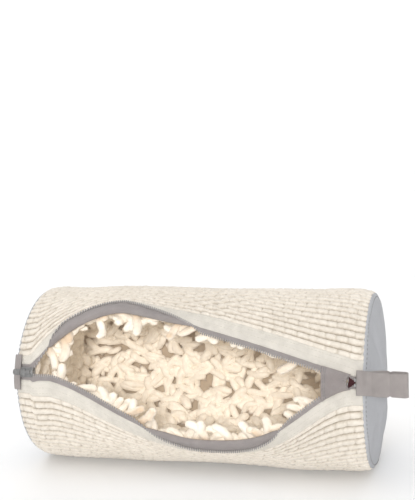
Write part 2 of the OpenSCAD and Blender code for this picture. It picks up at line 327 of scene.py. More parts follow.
def ramp(tree, factor, low, high, start=0.0, end=1.0):
    made = node(tree, "ShaderNodeValToRGB", {"Fac": factor})
    made.color_ramp.elements[0].position = start
    made.color_ramp.elements[1].position = end
    made.color_ramp.elements[0].color = (*low, 1)
    made.color_ramp.elements[1].color = (*high, 1)
    return made.outputs["Color"]


def blend_colours(tree, factor, a, b, mode="MIX"):
    made = node(tree, "ShaderNodeMix", data_type="RGBA", blend_type=mode)
    for socket, value in ((made.inputs[0], factor), (made.inputs[6], a), (made.inputs[7], b)):
        if isinstance(value, bpy.types.NodeSocket):
            tree.links.new(value, socket)
        else:
            socket.default_value = value
    return made.outputs[2]


def bump(tree, shader, height, distance, strength=1.0):
    made = node(tree, "ShaderNodeBump", {"Height": height, "Distance": distance, "Strength": strength})
    tree.links.new(made.outputs["Normal"], shader.inputs["Normal"])


def object_coords(tree):
    return node(tree, "ShaderNodeTexCoord").outputs["Object"]


def pattern_coords(tree):
    return node(tree, "ShaderNodeUVMap", uv_map="pattern").outputs["UV"]


# %% Chenille finishes
def chenille(name, crest, groove, tuft=900.0, relief=0.5 * MM):
    """Fuzzy ribbed pile: painted shade towards the groove colour where the groove attribute is high, mottled
    from tuft to tuft.
    """
    material, tree, shader = material_tree(name, crest, 0.95, sheen=0.35)
    where = object_coords(tree)
    # Painted shade: the groove attribute darkens the crest colour towards the groove colour.
    depth = node(tree, "ShaderNodeAttribute", attribute_name="groove").outputs["Fac"]
    shade = ramp(tree, depth, crest, groove, 0.1, 1.0)
    mottle = ramp(tree, noise(tree, where, 160.0, 4.0), (0.90, 0.885, 0.86), (1.05, 1.05, 1.05), 0.3, 0.7)
    cloud = ramp(tree, noise(tree, where, 14.0, 2.0), (0.965, 0.96, 0.95), (1.02, 1.02, 1.02), 0.3, 0.7)
    shade = blend_colours(tree, 1.0, shade, mottle, "MULTIPLY")
    shade = blend_colours(tree, 1.0, shade, cloud, "MULTIPLY")
    tree.links.new(shade, shader.inputs["Base Color"])
    fuzz = math_node(tree, "ADD", noise(tree, where, tuft, 4.0, 0.7), noise(tree, where, tuft * 0.35, 2.0))
    bump(tree, shader, fuzz, relief)
    return material


# Each second colour is painted shade: in the ribs' grooves and creases, and deep down in the noodle pile.
ribbed_chenille = chenille("ribbed_chenille", (0.73, 0.675, 0.60), (0.37, 0.31, 0.24))
noodle_chenille = chenille("noodle_chenille", (0.92, 0.845, 0.735), (0.64, 0.47, 0.315), 700.0, 0.6 * MM)


def glow(material, strength):
    """A faint warm glow, for the light that pale cloth passes on many times inside the bag."""
    shader = next(n for n in material.node_tree.nodes if n.type == "BSDF_PRINCIPLED")
    shader.inputs["Emission Color"].default_value = (1.0, 0.89, 0.76, 1.0)
    shader.inputs["Emission Strength"].default_value = strength


glow(noodle_chenille, 0.09)
print("chenille finishes made")


# %% Woven finishes
def woven(name, colour, threads, relief, sheen=0.15, twill=False, streak=0.05):
    """Plain or twill weave from two crossed waves on the cloth's own pattern."""
    material, tree, shader = material_tree(name, colour, 0.85, sheen=sheen)
    where = pattern_coords(tree)
    apart = node(tree, "ShaderNodeSeparateXYZ", {0: where})
    u = math_node(tree, "MULTIPLY", apart.outputs[0], threads)
    v = math_node(tree, "MULTIPLY", apart.outputs[1], threads)
    if twill:
        v = math_node(tree, "ADD", u, v)
    warp = math_node(tree, "SINE", u)
    weft = math_node(tree, "SINE", v)
    weave = math_node(tree, "MULTIPLY", warp, weft)
    wear = noise(tree, object_coords(tree), 90.0, 3.0)
    dark = tuple(c * (1 - 2 * streak) for c in colour)
    light = tuple(min(1.0, c * (1 + streak)) for c in colour)
    shade = ramp(tree, wear, dark, light, 0.3, 0.7)
    threads_shade = ramp(tree, math_node(tree, "MULTIPLY_ADD", weave, 0.5), (0.9, 0.9, 0.9), (1, 1, 1))
    shade = blend_colours(tree, 1.0, shade, threads_shade, "MULTIPLY")
    tree.links.new(shade, shader.inputs["Base Color"])
    bump(tree, shader, math_node(tree, "ADD", weave, wear), relief)
    return material


band_cloth = woven("band_cloth", (0.77, 0.725, 0.65), 1500.0, 0.10 * MM)
# The lining's colour is partly its own beige and partly painted shade: it is deepened to a warm brown for
# the gaps between the noodles, where it shows.
lining_cloth = woven("lining_cloth", (0.70, 0.55, 0.39), 900.0, 0.2 * MM)
zip_tape_cloth = woven("zip_tape_cloth", (0.385, 0.345, 0.335), 1300.0, 0.14 * MM, twill=True)
garage_cloth = woven("garage_cloth", (0.345, 0.305, 0.295), 1100.0, 0.12 * MM)
end_cloth = woven("end_cloth", (0.49, 0.497, 0.52), 1600.0, 0.08 * MM, streak=0.02)
webbing_cloth = woven("webbing_cloth", (0.41, 0.37, 0.355), 700.0, 0.22 * MM, twill=True)
glow(lining_cloth, 0.06)
print("woven finishes made")


# %% Plastic, metal and thread finishes
def speckled(name, colour, roughness, metallic, scale, relief, coat=0.0):
    material, tree, shader = material_tree(name, colour, roughness, metallic=metallic, coat=coat)
    grain = noise(tree, object_coords(tree), scale, 3.0)
    dark, light = tuple(c * 0.86 for c in colour), tuple(min(1, c * 1.08) for c in colour)
    shade = ramp(tree, grain, dark, light, 0.3, 0.7)
    tree.links.new(shade, shader.inputs["Base Color"])
    rough = ramp(tree, grain, (roughness - 0.08,) * 3, (roughness + 0.1,) * 3)
    tree.links.new(rough, shader.inputs["Roughness"])
    bump(tree, shader, grain, relief)
    return material


tooth_plastic = speckled("tooth_plastic", (0.36, 0.34, 0.335), 0.45, 0.0, 600.0, 0.05 * MM)
painted_zinc = speckled("painted_zinc", (0.27, 0.268, 0.265), 0.34, 0.6, 400.0, 0.04 * MM)
spring_steel = speckled("spring_steel", (0.55, 0.55, 0.56), 0.3, 1.0, 800.0, 0.02 * MM)
cream_thread = speckled("cream_thread", (0.66, 0.62, 0.54), 0.8, 0.0, 1500.0, 0.1 * MM)
grey_thread = speckled("grey_thread", (0.23, 0.225, 0.225), 0.8, 0.0, 1500.0, 0.1 * MM)
red_thread = speckled("red_thread", (0.042, 0.004, 0.006), 0.8, 0.0, 1500.0, 0.1 * MM)
print("hard finishes made")

# %% [markdown]
# ## Camera, floor and light
# The bag is looked at from its front and slightly from the right and above. The camera aims
# over the bag, so that the bag lies low in the frame, and is rolled a little.

# %% Camera
VIEW_TURN, VIEW_RISE, VIEW_ROLL = math.radians(16.4), math.radians(17.0), math.radians(-3.1)
VIEW_DISTANCE = 12.5 * RADIUS
AIM_UP, AIM_LEFT = math.radians(6.58), math.radians(-0.03)
LENS = 77.7
centre = Vector((0, 0, AXIS_Z))
back = Vector((math.sin(VIEW_TURN) * math.cos(VIEW_RISE), -math.cos(VIEW_TURN) * math.cos(VIEW_RISE),
               math.sin(VIEW_RISE)))
level = Vector((math.cos(VIEW_TURN), math.sin(VIEW_TURN), 0))
upright = back.cross(level)
right = level * math.cos(VIEW_ROLL) + upright * math.sin(VIEW_ROLL)
up = upright * math.cos(VIEW_ROLL) - level * math.sin(VIEW_ROLL)
ahead = -back * math.cos(AIM_UP) + up * math.sin(AIM_UP)
up = up * math.cos(AIM_UP) + back * math.sin(AIM_UP)
ahead, right = ahead * math.cos(AIM_LEFT) - right * math.sin(AIM_LEFT), \
    right * math.cos(AIM_LEFT) + ahead * math.sin(AIM_LEFT)
camera_data = bpy.data.cameras.new("camera")
camera_data.lens = LENS
camera = bpy.data.objects.new("camera", camera_data)
camera.matrix_world = Matrix.Translation(centre + back * VIEW_DISTANCE) @ \
    Matrix((right, up, -ahead)).transposed().to_4x4()
bpy.context.scene.collection.objects.link(camera)
bpy.context.scene.camera = camera
print("camera at", [round(v, 3) for v in camera.matrix_world.translation])

# %% Floor and studio light
floor_rows = [(-20.0, 0.0), (3.0, 0.0), (4.5, 0.06), (6.5, 0.3), (60.0, 12.0), (62.0, 80.0)]
floor_verts = [(x, y, z) for y, z in floor_rows for x in (-40, 40)]
floor_faces = [(2 * i, 2 * i + 1, 2 * i + 3, 2 * i + 2) for i in range(len(floor_rows) - 1)]
floor_material, floor_tree, floor_shader = material_tree("studio_paper", (0.93, 0.93, 0.93), 0.9)
paper_tone = ramp(floor_tree, noise(floor_tree, object_coords(floor_tree), 3.0), (0.92,) * 3, (0.94,) * 3)
floor_tree.links.new(paper_tone, floor_shader.inputs["Base Color"])
floor = make_object("studio_floor", floor_verts, floor_faces, floor_material)


def soft_lamp(name, turn, height, spread, strength):
    """A large soft lamp far away, so that the floor is lit evenly; turn is round from the bag's front."""
    light = bpy.data.lights.new(name, "SUN")
    light.angle = math.radians(spread)
    light.energy = strength
    lamp = bpy.data.objects.new(name, light)
    turn, height = math.radians(turn), math.radians(height)
    level = math.cos(height)
    toward = Vector((math.sin(turn) * level, -math.cos(turn) * level, math.sin(height)))
    lamp.matrix_world = Matrix.Translation(toward * 3) @ toward.to_track_quat("Z", "Y").to_matrix().to_4x4()
    bpy.context.scene.collection.objects.link(lamp)


soft_lamp("front_lamp", 14, 19, 10, 2.15)
soft_lamp("overhead_lamp", -30, 75, 70, 1.0)
soft_lamp("back_lamp", 195, 35, 60, 0.8)
world = bpy.data.worlds.new("studio")
world.use_nodes = True
world.node_tree.nodes["Background"].inputs["Color"].default_value = (1.0, 1.0, 1.0, 1)
world.node_tree.nodes["Background"].inputs["Strength"].default_value = 0.44
bpy.context.scene.world = world
bpy.context.scene.view_settings.view_transform = "Standard"
print("floor and lights ready")

# %% [markdown]
# ## Letting the cloth settle
# Opening the mouth pushes the cloth of each lip together, and real cloth buckles into soft
# folds between the lip and the back. Guessed waves look regular, so a coarse sheet of each
# half is simulated: its seams, its lip and the strip that it rests on are held, its springs
# remember a slightly larger pattern, and a little air pressure fills it out. Only the heights
# of the folds are kept, smoothed and limited, and every layer of the bag rises with them.


# %% Cloth simulation
def settle(side, cols=100, rows=62, steps=26):
    """Fold heights over the plain drum, on a grid of X and distance from the lip."""
    grid_x, grid_arc = np.meshgrid(np.linspace(-PANEL_HALF, PANEL_HALF, cols),
                                   np.linspace(PANEL_START, HALF_ROUND, rows), indexing="ij")
    share = cloth_share(grid_x, grid_arc, side)
    start = roll_up(grid_x, grid_arc, RADIUS + 0 * grid_x, side, share)
    larger = roll_up(grid_x * 1.006, grid_arc, RADIUS * 1.004 + 0 * grid_x, side, share * 0.86)
    faces = [(i * rows + j, (i + 1) * rows + j, (i + 1) * rows + j + 1, i * rows + j + 1)
             for i in range(cols - 1) for j in range(rows - 1)]
    if side < 0:
        faces = [tuple(reversed(f)) for f in faces]
    sheet = make_object("settling_sheet", start.reshape(-1, 3), faces)
    edge = np.zeros((cols, rows), bool)
    edge[[0, -1], :] = True
    edge[:, [0, -1]] = True
    held = sheet.vertex_groups.new(name="held")
    held.add([int(k) for k in np.nonzero((edge | (start[..., 2] < 3 * MM)).ravel())[0]], 1.0, "REPLACE")
    sheet.shape_key_add(name="sewn")
    pattern = sheet.shape_key_add(name="pattern")
    pattern.data.foreach_set("co", larger.reshape(-1, 3).astype(np.float32).ravel())
    cloth = sheet.modifiers.new("cloth", "CLOTH")
    cloth.settings.quality = 6
    cloth.settings.mass = 0.25
    cloth.settings.air_damping = 4
    cloth.settings.bending_stiffness = 3.0
    cloth.settings.vertex_group_mass = "held"
    cloth.settings.rest_shape_key = pattern
    cloth.settings.use_pressure = True
    cloth.settings.uniform_pressure_force = 1.2
    cloth.settings.effector_weights.gravity = 0.0
    cloth.point_cache.frame_start = 1
    cloth.point_cache.frame_end = steps
    scene = bpy.context.scene
    for step in range(1, steps + 1):
        scene.frame_set(step)
    done = sheet.evaluated_get(bpy.context.evaluated_depsgraph_get()).to_mesh()
    points = np.zeros(cols * rows * 3)
    done.vertices.foreach_get("co", points)
    points = points.reshape(cols, rows, 3)
    scene.frame_set(1)
    bpy.data.objects.remove(sheet)
    before = np.hypot(start[..., 1], start[..., 2] - AXIS_Z)
    height = np.hypot(points[..., 1], points[..., 2] - AXIS_Z) - before
    raw = [float(height.min()), float(height.max())]
    for _ in range(2):
        padded = np.pad(height, 1, mode="edge")
        near = padded[:-2, 1:-1] + padded[2:, 1:-1] + padded[1:-1, :-2] + padded[1:-1, 2:]
        height = (near + 2 * height) / 6
        height[edge] = 0
    most = 3.2 * MM
    height = most * np.tanh(height / most)
    kept = round(float(np.abs(height).max()), 4)
    print(SIDE_NAME[side], "folds raw", [round(v, 4) for v in raw], "kept to", kept)
    return height


settled = {side: settle(side) for side in (1, -1)}

# %% [markdown]
# ## The ribbed outer panel
# The real cloth is a knitted chenille with raised ribs along the bag, each broken into short
# cells by the backing thread. The ribs are real relief here: a fine grid is raised by a
# rounded profile across each rib and pinched by a crease between two cells. The panel is made
# as an upper and a lower half that meet in a groove round the back, one for each lip.

# %% Rib relief
RIBS = 36
RIB_ROWS = 8
PANEL_COLS = 261
RIB_DEPTH = 3.4 * MM
CELL = 11.5 * MM


def rib_relief(x, row):
    """Height of the ribs, 0 at a crest and 1 in a groove, for X along and a row position in ribs."""
    rib = np.floor(np.clip(row, 0, RIBS - 1e-6))
    across = row - rib
    groove = np.abs(2 * across - 1) ** 3.4
    jitter = np.sin(rib * 12.9898) * 43758.5453
    shift = (jitter - np.floor(jitter)) * 0.4 + 0.35 * (rib % 2)
    wobble = 0.12 * np.sin(x * 61 + rib * 2.3)
    along = x / CELL + shift + wobble
    near = np.abs(along - np.round(along)) * CELL
    strength = 0.62 + 0.38 * np.sin(np.round(along) * 7.31 + rib * 3.17)
    crease = np.exp(-(near / (1.05 * MM)) ** 2) * strength
    lumps = 0.18 * np.sin(x * 410 + rib * 5.0) * np.sin(x * 173 + rib)
    return groove, crease, lumps


def wrinkles(x, arc, side):
    """A few slanting folds beside the mouth's high point."""
    if side < 0:
        return np.zeros_like(x)
    slant = (x - 0.020) * 0.75 + (arc - 0.075)
    here = np.exp(-((x - 0.022) / 0.045) ** 2 - ((arc - 0.062) / 0.038) ** 2)
    return 1.5 * MM * here * np.sin(slant * 2 * math.pi / 0.017)


def outer_panel_half(side):
    x = np.linspace(-PANEL_HALF, PANEL_HALF, PANEL_COLS)
    spread = (x / PANEL_HALF)
    x = PANEL_HALF * (0.86 * spread + 0.14 * np.sin(spread * math.pi / 2))
    row = np.arange(RIBS * RIB_ROWS + 1) / RIB_ROWS
    grid_x, grid_row = np.meshgrid(x, row, indexing="ij")
    edge = panel_edge(grid_x, side)
    grid_arc = edge + (HALF_ROUND - edge) * grid_row / RIBS
    drift = 1.4 * MM * np.sin(33 * grid_x + 0.21 * grid_row + 1.0)
    drift = drift + 0.7 * MM * np.sin(71 * grid_x + 0.5 * grid_row)
    grid_arc = grid_arc + drift * np.sin(math.pi * grid_row / RIBS) ** 0.5
    groove, crease, lumps = rib_relief(grid_x, grid_row)
    to_end = unit((PANEL_HALF - np.abs(grid_x)) / (5 * MM))
    end_round = np.sqrt(1 - (1 - to_end) ** 2)
    height = RIB_DEPTH * (1 - groove) * (1 - 0.36 * crease) + lumps * MM
    height = height * mix(0.25, 1.0, end_round) - 0.4 * MM * crease
    r_top = RADIUS - RIB_DEPTH + height + swell(grid_x, grid_arc, side)
    tufts = np.clip(rng.normal(0, 1, r_top.shape), -2, 2)
    r_top = r_top + wrinkles(grid_x, grid_arc, side) + 0.22 * MM * tufts * end_round
    r_low = np.full_like(r_top, RADIUS - 4.8 * MM) + swell(grid_x, grid_arc, side)
    share = cloth_share(grid_x, grid_arc, side)
    scallop = (0.7 - 1.9 * groove) * MM * (1 - to_end) * np.sign(grid_x)
    top = roll_up(grid_x + scallop, grid_arc, r_top, side, share)
    under = roll_up(grid_x, grid_arc, r_low, side, share)
    uv = np.stack([grid_x, grid_arc], -1)
    name = f"ribbed_panel_{SIDE_NAME[side]}"
    obj, keep = shell(name, top, under, uv, ribbed_chenille, flip=side < 0, every=RIB_ROWS)
    # Painted shade in the grooves, in the creases between cells and where the ribs round down at the ends,
    # with a little random tuft tone.
    dark = unit(0.07 * tufts + groove ** 1.5 + 0.42 * crease + 0.25 * (1 - end_round))
    set_attribute(obj, "groove", both_layers(dark, keep))
    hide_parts("outer_panel")
    turn_with_lip(obj, side, both_layers(share, keep))
    print(name, len(obj.data.polygons), "faces")
    return obj


for side in (1, -1):
    outer_panel_half(side)

# %% [markdown]
# ## Bands, tapes and their twist
# A smooth band of plain cloth is folded along each side of the zip, and the zip's grey tape is
# sewn under it. Where the mouth gapes, the tape has turned over and lies on the band with its
# teeth outside, so its place is worked out from a turn that runs from -1, tucked under, to 1,
# turned out. The tape is narrow where it stands on edge between the two.


# %% Turn of the tape
def turn_of(x, side):
    start, end = TWIST[side]
    along = unit((x - start) / (end - start))
    outside = -np.clip(np.maximum(start - x, x - end) / (TWIST_LEN / 2), 0, 1)
    fullness = 1 - along ** 2.2 if side > 0 else np.sin(math.pi * along) ** 0.6 * (0.52 + 0.38 * along)
    swing = np.minimum(1.0, np.sqrt(unit(along * 15))) * fullness
    return np.where((x > start) & (x < end), swing, outside)


def tooth_offset(x, side):
    """Distance of the teeth outside the band's edge on the open bag, negative towards the mouth."""
    turned = turn_of(x, side)
    return np.where(turned > 0, turned * TAPE_W, turned * (closed_gap(x) - 0.8 * MM))


def tape_level(x, side):
    """Radius of the tape: under the band, or on top of it where it is turned out."""
    return RADIUS + mix(-2.9 * MM, -0.7 * MM, ease(unit((turn_of(x, side) + 1) / 2)))


# %% Bands
def band(side):
    x = np.linspace(-PANEL_HALF, PANEL_HALF, 220)
    across = np.linspace(0, 1, 13)
    grid_x, grid_t = np.meshgrid(x, across, indexing="ij")
    grid_arc = mix(closed_gap(grid_x), panel_edge(grid_x, side) + 1.5 * MM, grid_t)
    fold = np.sqrt(unit(grid_t / 0.12))
    seam = np.exp(-((grid_t - 0.80) / 0.035) ** 2) + 0.7 * np.exp(-((grid_t - 0.45) / 0.03) ** 2)
    pucker = 0.25 * MM * np.sin(grid_x * 520) * np.exp(-((grid_t - 0.62) / 0.2) ** 2)
    r_top = RADIUS - 2.6 * MM + 0.9 * MM * fold - 0.35 * MM * seam + pucker
    r_top = r_top + 0.6 * MM * grid_t + swell(grid_x, grid_arc, side)
    r_low = RADIUS - 3.3 * MM + swell(grid_x, grid_arc, side) - 0.2 * MM * fold
    share = cloth_share(grid_x, np.minimum(grid_arc, PANEL_START), side)
    top = roll_up(grid_x, grid_arc, r_top, side, share)
    under = roll_up(grid_x, grid_arc, r_low, side, share)
    name = f"{SIDE_NAME[side]}_band_cloth"
    obj, keep = shell(name, top, under, np.stack([grid_x, grid_arc], -1), band_cloth, flip=side < 0)
    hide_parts(f"{SIDE_NAME[side]}_band")
    turn_with_lip(obj, side, both_layers(share, keep))
    print(name, len(obj.data.polygons), "faces")


# %% Tapes
def tape_stretch(name, side, x0, x1, turned):
    """One stretch of tape: from the band's edge to its teeth, and in its normal place under the band too."""
    x = np.linspace(x0, x1, max(12, int((x1 - x0) / (1.6 * MM))))
    across = np.linspace(-0.3, 1, 11) if turned else np.linspace(-0.8, 1, 10)
    grid_x, grid_t = np.meshgrid(x, across, indexing="ij")
    gap = closed_gap(grid_x)
    tucked = unit(-grid_t)
    hidden = -tucked * 5 * MM if turned else tucked * 11 * MM
    closed_arc = mix(gap, 0.5 * MM, unit(grid_t)) + hidden
    open_arc = gap + unit(grid_t) * tooth_offset(grid_x, side) + hidden
    full = rise(grid_x, side)
    share = full + (open_arc - closed_arc) / RADIUS / OPENING[side]
    level = tape_level(grid_x, side) + swell(grid_x, gap, side)
    if turned:
        level = level - 4.2 * MM * ease(unit(tucked / 0.3)) * unit(3 * turn_of(grid_x, side))
    else:
        held = RADIUS - 2.9 * MM + swell(grid_x, gap, side)
        level = mix(level, held, ease(unit(tucked / 0.15)))
    ripple = 0.25 * MM * np.sin(grid_x * 330 + grid_t * 2) * unit(grid_t)
    bulge = 0.8 * MM * np.sin(math.pi * unit(grid_t)) * (1 if turned else 0.2)
    top = roll_up(grid_x, closed_arc, level + 0.35 * MM + ripple + bulge, side, share)
    under = roll_up(grid_x, closed_arc, level - 0.35 * MM + ripple + bulge, side, share)
    flip = (side < 0) == turned
    flat_y = np.where(grid_t < 0, np.abs(hidden), -grid_t * TAPE_W)
    return shell(name, top, under, np.stack([grid_x, flat_y], -1), zip_tape_cloth, flip=flip), share


def join(name, objects):
    """One mesh from several, kept in their own places."""
    bpy.ops.object.select_all(action="DESELECT")
    for obj in objects:
        obj.select_set(True)
    bpy.context.view_layer.objects.active = objects[0]
    bpy.ops.object.join()
    objects[0].name = name
    objects[0].data.name = name
    return objects[0]


ZIP_HALF = SEAM_X - 2.5 * MM


def zip_tape(side):
    start, end = TWIST[side]
    parts = []
    stretches = ((-ZIP_HALF, start, False), (start, end, True), (end, ZIP_HALF, False))
    for number, (x0, x1, turned) in enumerate(stretches):
        (obj, keep), share = tape_stretch(f"tape_{number}", side, x0, x1, turned)
        set_attribute(obj, "share", both_layers(share, keep))
        parts.append(obj)
    obj = join(f"{SIDE_NAME[side]}_tape_cloth", parts)
    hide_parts(f"{SIDE_NAME[side]}_zip_tape")
    turn_with_lip(obj, side, read_attribute(obj, "share"))
    print(obj.name, len(obj.data.polygons), "faces")


for side in (1, -1):
    band(side)
    zip_tape(side)

# %% [markdown]
# ## Rows of small things
# Teeth and stitches stand in rows, so one Geometry Nodes tree places an item along a line on
# the flat pattern, with a little random turn from a fixed seed. The result is made a plain
# mesh and rolled up like the cloth that it sits on.


# %% A tree for rows
def socket_id(tree, name):
    return next(item.identifier for item in tree.interface.items_tree if item.name == name)


def run_tree(tree, name, values, mesh=None):
    """Runs a node tree on an object and returns the result as a plain mesh object."""
    obj = bpy.data.objects.new(name, mesh or bpy.data.meshes.new(name))
    bpy.context.scene.collection.objects.link(obj)
    modifier = obj.modifiers.new("rows", "NODES")
    modifier.node_group = tree
    for key, value in values.items():
        modifier[socket_id(tree, key)] = value
    result = bpy.data.meshes.new_from_object(obj.evaluated_get(bpy.context.evaluated_depsgraph_get()))
    obj.modifiers.clear()
    obj.data = result
    result.name = name
    result.polygons.foreach_set("use_smooth", [True] * len(result.polygons))
    return obj


def new_tree(name, inputs):
    tree = bpy.data.node_groups.new(name, "GeometryNodeTree")
    tree.is_modifier = True
    tree.interface.new_socket("Geometry", in_out="INPUT", socket_type="NodeSocketGeometry")
    for label, kind in inputs:
        tree.interface.new_socket(label, in_out="INPUT", socket_type=kind)
    tree.interface.new_socket("Geometry", in_out="OUTPUT", socket_type="NodeSocketGeometry")
    return tree, tree.nodes.new("NodeGroupInput"), tree.nodes.new("NodeGroupOutput")


def end_tree(tree, given, placed, result):
    """Makes placed items real geometry in the given material, as the tree's result."""
    real = node(tree, "GeometryNodeRealizeInstances", {"Geometry": placed.outputs[0]})
    finish = node(tree, "GeometryNodeSetMaterial", {"Geometry": real.outputs[0],
                                                    "Material": given.outputs["Material"]})
    tree.links.new(finish.outputs[0], result.inputs[0])


def row_tree():
    tree, given, result = new_tree("row_of_items", [
        ("Item", "NodeSocketObject"), ("Count", "NodeSocketInt"), ("Start", "NodeSocketVector"),
        ("Step", "NodeSocketVector"), ("Wobble", "NodeSocketFloat"), ("Seed", "NodeSocketInt"),
        ("Material", "NodeSocketMaterial")])
    line = node(tree, "GeometryNodeMeshLine", {"Count": given.outputs["Count"],
                                               "Start Location": given.outputs["Start"],
                                               "Offset": given.outputs["Step"]})
    item = node(tree, "GeometryNodeObjectInfo", {"Object": given.outputs["Item"]})
    least = node(tree, "ShaderNodeMath", {0: given.outputs["Wobble"], 1: -1.0}, operation="MULTIPLY")
    turn = node(tree, "FunctionNodeRandomValue", {"Seed": given.outputs["Seed"]}, data_type="FLOAT_VECTOR")
    tree.links.new(least.outputs[0], turn.inputs[0])
    tree.links.new(given.outputs["Wobble"], turn.inputs[1])
    placed = node(tree, "GeometryNodeInstanceOnPoints", {"Points": line.outputs[0],
                                                         "Instance": item.outputs["Geometry"]})
    rotation = node(tree, "FunctionNodeEulerToRotation", {0: turn.outputs[0]})
    tree.links.new(rotation.outputs[0], placed.inputs["Rotation"])
    end_tree(tree, given, placed, result)
    return tree


rows = row_tree()


def item_mesh(name, size, bevel):
    """A small block with chamfered edges, kept out of the picture and used as an item."""
    bm = bmesh.new()
    bmesh.ops.create_cube(bm, size=1.0)
    bmesh.ops.scale(bm, vec=size, verts=bm.verts)
    bmesh.ops.bevel(bm, geom=bm.edges[:], offset=bevel, segments=1, affect="EDGES")
    mesh = bpy.data.meshes.new(name)
    bm.to_mesh(mesh)
    bm.free()
    return bpy.data.objects.new(name, mesh)


def points_of(obj):
    co = np.zeros(len(obj.data.vertices) * 3)
    obj.data.vertices.foreach_get("co", co)
    return co.reshape(-1, 3)


def set_points(obj, points):
    obj.data.vertices.foreach_set("co", np.asarray(points, np.float32).ravel())
    obj.data.update()


def reverse_faces(obj):
    obj.data.flip_normals()


tooth_item = item_mesh("tooth_item", (1.25 * MM, 3.4 * MM, 2.2 * MM), 0.3 * MM)
stitch_item = item_mesh("stitch_item", (2.7 * MM, 0.75 * MM, 0.55 * MM), 0.25 * MM)
print("tree for rows ready")

# %% Teeth
TOOTH_PITCH = 2.4 * MM


def zip_teeth(side):
    first = -ZIP_HALF + 3.6 * MM + (0 if side > 0 else TOOTH_PITCH / 2)
    count = int((2 * ZIP_HALF - 16 * MM) / TOOTH_PITCH) + 1
    obj = run_tree(rows, f"{SIDE_NAME[side]}_teeth", {
        "Item": tooth_item, "Count": count, "Start": (first, 0.8 * MM, 0), "Step": (TOOTH_PITCH, 0, 0),
        "Wobble": 0.05, "Seed": 3, "Material": tooth_plastic})
    flat = points_of(obj)
    x, closed_arc, out = flat[:, 0], flat[:, 1], flat[:, 2]
    middle = 0.8 * MM
    turned = turn_of(x, side)
    reach = 1.2 * MM * np.clip(turned * 3, -0.4, 1)
    open_arc = closed_gap(x) + tooth_offset(x, side) + reach + (closed_arc - middle)
    share = rise(x, side) + (open_arc - closed_arc) / RADIUS / OPENING[side]
    level = tape_level(x, side) + swell(x, closed_gap(x), side) + 0.9 * MM * unit(turned * 3)
    set_points(obj, roll_up(x, closed_arc, level + out, side, share))
    if side < 0:
        reverse_faces(obj)
    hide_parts(f"{SIDE_NAME[side]}_zip_teeth")
    turn_with_lip(obj, side, share)
    print(obj.name, count, "teeth", len(obj.data.polygons), "faces")


# %% Topstitches
def topstitches(side):
    parts = []
    for number, place in enumerate((0.45, 0.80)):
        arc = mix(6 * MM, PANEL_START + 1.5 * MM, place)
        count = int((2 * PANEL_HALF - 10 * MM) / (3.8 * MM))
        obj = run_tree(rows, f"stitches_{number}", {
            "Item": stitch_item, "Count": count, "Start": (-PANEL_HALF + 5 * MM, arc, 0),
            "Step": (3.8 * MM, 0, 0), "Wobble": 0.06, "Seed": 5 + number, "Material": cream_thread})
        flat = points_of(obj)
        x, arcs, out = flat[:, 0], flat[:, 1], flat[:, 2]
        arcs = arcs - arc + mix(closed_gap(x), panel_edge(x, side) + 1.5 * MM, place)
        share = cloth_share(x, np.minimum(arcs, PANEL_START), side)
        level = RADIUS - 1.75 * MM + 0.6 * MM * place + swell(x, arcs, side)
        set_points(obj, roll_up(x, arcs, level + out, side, share))
        set_attribute(obj, "share", share)
        if side < 0:
            reverse_faces(obj)
        parts.append(obj)
    obj = join(f"{SIDE_NAME[side]}_band_stitches", parts)
    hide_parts(f"{SIDE_NAME[side]}_topstitch")
    turn_with_lip(obj, side, read_attribute(obj, "share"))
    print(obj.name, len(obj.data.polygons), "faces")


for side in (1, -1):
    zip_teeth(side)
    topstitches(side)

# %% [markdown]
# ## Lining and its noodle pile
# Inside, a knitted cloth carries long chenille noodles. The noodles are scattered over the
# flat cloth by Geometry Nodes, each one lying in its own direction, and are then rolled up
# with it. A noodle turns as one piece when the mouth opens, so it isn't squeezed.

# %% Lining
LINING_R = RADIUS - 5.9 * MM


def lining(side):
    x = np.linspace(-SEAM_X + 5 * MM, SEAM_X - 5 * MM, 120)
    t = np.linspace(0, 1, 60)
    grid_x, grid_t = np.meshgrid(x, t, indexing="ij")
    grid_arc = mix(closed_gap(grid_x) + 2 * MM, HALF_ROUND, grid_t)
    share = cloth_share(grid_x, grid_arc, side)
    r_top = LINING_R + 0.9 * MM + swell(grid_x, grid_arc, side)
    r_low = LINING_R - 0.2 * MM + swell(grid_x, grid_arc, side)
    top = roll_up(grid_x, grid_arc, r_top, side, share)
    under = roll_up(grid_x, grid_arc, r_low, side, share)
    name = f"lining_{SIDE_NAME[side]}"
    obj, keep = shell(name, top, under, np.stack([grid_x, grid_arc], -1), lining_cloth, flip=side < 0)
    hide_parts("lining_panel")
    turn_with_lip(obj, side, both_layers(share, keep))
    return obj


